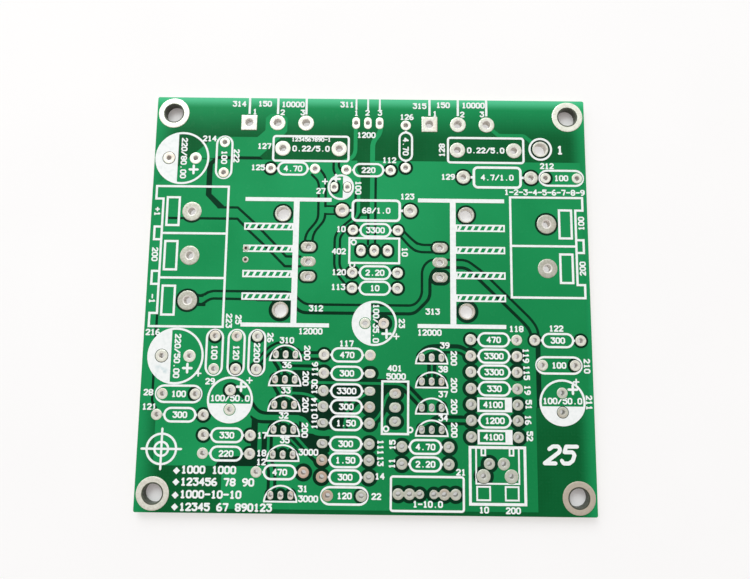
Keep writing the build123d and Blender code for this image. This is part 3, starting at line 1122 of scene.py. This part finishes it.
# Tags beside the components, by their turn: level ones, ones that read downwards, ones that read upwards
tags = {
    0: """
    192 984 314, 252 985 150, 318 984 10000, 229 964 1, 294 963 2, 341 963 3, 126 893 214, 254 875 127,
    241 820 125, 445 985 311, 467 963 1, 493 964 2, 522 964 3, 491 906 1200, 585 954 126, 545 842 112,
    615 983 315, 670 986 150, 741 986 10000, 651 963 1, 715 962 2, 761 963 3, 587 750 123, 681 801 129,
    388 762 27, 910 831 212, 903 764 1-2-3-4-5-6-7-8-9, 20 412 216, 320 396 310, 322 338 36, 321 279 33,
    318 221 32, 322 165 35, 364 56 31, 374 138 3000, 376 34 3000, 436 667 10, 432 612 402, 433 561 120,
    432 525 113, 383 473 312, 645 468 313, 372 418 12000, 638 418 12000, 453 390 117, 561 333 401,
    564 314 5000, 672 388 39, 668 332 38, 668 274 37, 668 219 34, 832 429 118, 921 431 122, 153 298 29,
    18 271 28, 22 238 121, 272 175 17, 272 135 18, 272 115 12, 530 86 14, 523 41 22, 634 25 1-10.0,
    706 97 21, 755 14 10, 818 13 200""",
    -90: """
    190 849 222, 189 441 223, 210 444 25, 283 402 26, 474 771 100, 14 600 200, 582 612 10, 576 439 23,
    366 367 200, 364 307 200, 365 246 200, 365 188 200, 692 358 200, 692 295 200, 692 246 200,
    692 192 200, 852 366 119, 853 326 115, 854 286 19, 856 252 51, 854 217 16, 857 180 52, 987 343 210,
    989 258 211, 531 151 111, 531 120 13, 14 706 +1, 14 492 -1""",
    90: """
    667 869 128, 985 687 100, 985 576 200, 384 329 116, 384 288 130, 384 246 114, 386 208 110, 557 157 15,
    556 115 11""",
}
for turn, words in tags.items():
    for share, text in rows(words):
        numerals(text, at(share), turn)

# Large rows with a diamond before each, and a registration target
row_height = 1.47
row_line = 0.33
row_share = 100.5
diamond_share = 89
diamond_half = 0.63
diamond_sides = 4
large_rows = [
    ("1000 1000", 96, 93.3), ("123456 78 90", 69, 68), ("1000-10-10", 41.3, 38.7),
    ("12345 67 890123", 13.3, 12.8),
]
for text, y, diamond_y in large_rows:
    numerals(text, at((row_share, y)), 0, row_height, row_line, 0.0, True)
    numeral_shapes.append(solid(circle(at((diamond_share, diamond_y)), diamond_half, diamond_sides)))
# Signs of their own size: text, height, line, lean and shares
signs = [
    ("1", 1.8, 0.36, 0.0, [(941.5, 872.5)]), ("25", 3.7, 0.7, 0.35, [(917.5, 138.5)]),
    ("+", 2.8, 0.45, 0.0, [(92, 813), (101, 328), (222, 286), (542, 414), (422, 793), (954, 288)]),
    ("+", 1.7, numeral_line, 0.0, [(126, 316), (240, 301), (564, 408), (397, 786), (962, 306)]),
]
for text, height, line, lean, shares in signs:
    for share in shares:
        numerals(text, at(share), 0, height, line, lean)
target_share = (53.5, 142)
target_point = at(target_share)
target_radius = 2.9
target_reach = 3.6
for radius in (target_radius, target_radius / 2):
    numeral_shapes.append(round_mark(target_point, radius, stroke, can_sides))
for turn in (0, 90):
    start = by(target_point, -target_reach, 0, turn)
    end = by(target_point, target_reach, 0, turn)
    numeral_shapes.append(solid(capsule(start, end, stroke)))

# Pieces


def finished(piece, slot, *nodes):
    """A piece that rides on the board and may stand for CAD nodes, which it hides; its slot is not used."""
    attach(piece, "root")
    if nodes:
        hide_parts(*nodes)


finished(board(), "solder_mask", "laminate")
satin_kinds = ["terminal_lands", "heat_sink_lands", "driver_lands"]
clear_kinds = ["power_transistor_lands", "power_resistor_lands", "one_watt_lands", "test_point_land"]
# The corner eyelets' barrels take the near-black barrel of painted shade.
finishes = {
    **dict.fromkeys(satin_kinds, (tin, tin_barrel)), **dict.fromkeys(clear_kinds, (clear_tin, tin_barrel)),
    "mounting_eyelets": (bright_tin, painted_shade_barrel), "via_lands": (tin, dark_copper),
}
for kind, group in pads.items():
    nodes = [kind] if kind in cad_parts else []
    land, barrel = finishes.get(kind, (bright_tin, tin_barrel))
    finished(lands("tin_" + kind, group, kind == "power_transistor_lands", land, barrel), "tin", *nodes)
link_ends = [[at((x, coupling_row_share)) for x in ends] for ends in coupling_link_shares]
links = [solid(bar(*ends, link_height)) for ends in link_ends]
link_off = [put(pad_outline(size), point) for point, size, gap in pads["coupling_capacitor_lands"]]
finished(slab("tin_coupling_links", links, link_off, ground, tin_top - link_drop, bright_tin), "tin")
keep_off = [
    put(pad_outline(size, via_gap if size == via_pad else pad_gap), point) for point, size, gap in all_pads
]
for level, (kind, shapes) in enumerate(marks.items()):
    mark_top = ink_top - level * ink_step
    finished(slab("ink_" + kind, shapes, keep_off, ground, mark_top, ink), "legend_ink", kind)
number_top = ink_top - len(marks) * ink_step
finished(slab("ink_numerals", numeral_shapes, keep_off, ground, number_top, ink), "legend_ink")

# Floor: pale, and lifted a little towards white where it is looked at, but not deep in the corner holes
floor_size = 3000.0
floor_waves = 40.0
floor_lift = 0.5
hole_lift = 0.12
hole_reach = (2.5, 3.1)
material, shader, coords = new_material("floor")
tone = span(noise(coords, floor_waves), *usual_range)
colour = blend_colours(tone, (0.92, 0.915, 0.91), (0.94, 0.935, 0.93))
feed(shader, {"Base Color": colour, "Roughness": 0.8, "Specular IOR Level": 0.1})
tree = material.node_tree
rays = add_node(tree, "LightPath", {})
seen = sums("MAXIMUM", rays["Is Camera Ray"], rays["Is Glossy Ray"])
seen = sums("MAXIMUM", seen, rays["Is Transmission Ray"])
deep = 0.0
for point in mount_points:
    deep = sums("MAXIMUM", near(coords, point, hole_reach, 1.0), deep)
lift = sums("MULTIPLY", seen, span(deep, 0.0, 1.0, floor_lift, hole_lift))
white = add_node(tree, "Emission", {})[0]
lifted = add_node(tree, "MixShader", {0: lift, 1: shader.outputs[0], 2: white})[0]
feed(tree.nodes["Material Output"], {"Surface": lifted})
floor_points = [(*point, 0.0) for point in box(floor_size, floor_size)]
keep_mesh("floor", floor_points, [[0, 1, 2, 3]], [material])

# Light: a sky, bright behind at the left, dim in front at the right, pale below, and a soft box, in metres
scene = bpy.context.scene
scene.world = bpy.data.worlds.new("studio")
scene.world.use_nodes = True
tree = scene.world.node_tree
sky = split(add_node(tree, "TexCoord", {})["Generated"])
lean_left = sums("MULTIPLY", sky["X"], -0.2)
lean_back = sums("MULTIPLY", sky["Y"], 0.9)
bright = span(sums("ADD", lean_left, lean_back), -0.4, 0.5)
colour = blend_colours(bright, (0.33, 0.25, 0.23), (0.96, 0.99, 1.0))
haze = span(sky["Z"], 0.12, 0.42, 1.0, 0.0, True)
colour = blend_colours(haze, colour, (0.86, 0.86, 0.86))
feed(tree.nodes["Background"], {"Color": colour, "Strength": 1.1})
key_place = Vector((-0.2, 0.62, 0.55))
key = bpy.data.lights.new("key", "AREA")
key.size = 0.5
key.energy = 4.0
key.color = (0.97, 1.0, 1.0)
key_holder = bpy.data.objects.new("key", key)
key_holder.location = key_place
key_holder.rotation_euler = (-key_place).to_track_quat("-Z", "Y").to_euler()
scene.collection.objects.link(key_holder)

# Camera, in metres, at the photograph's angle
azimuth = math.radians(-89.194)
elevation = math.radians(82.988)
roll = math.radians(-0.165)
distance = 0.10585
target = Vector((0.00127, 0.00156, high.z))
sensor = 36.0
focal_pixels = 560.0
photo_pixels = 750.0
near_clip = 0.005
lens = bpy.data.cameras.new("camera")
lens.sensor_fit = "HORIZONTAL"
lens.sensor_width = sensor
lens.lens = sensor * (focal_pixels / photo_pixels)
lens.clip_start = near_clip
camera = bpy.data.objects.new("camera", lens)
turn = Matrix.Rotation(azimuth + math.pi / 2, 4, "Z") @ Matrix.Rotation(math.pi / 2 - elevation, 4, "X")
turn @= Matrix.Rotation(roll, 4, "Z")
camera.matrix_world = Matrix.Translation(target) @ turn @ Matrix.Translation((0, 0, distance))
scene.collection.objects.link(camera)
scene.camera = camera
scene.view_settings.view_transform = "Standard"
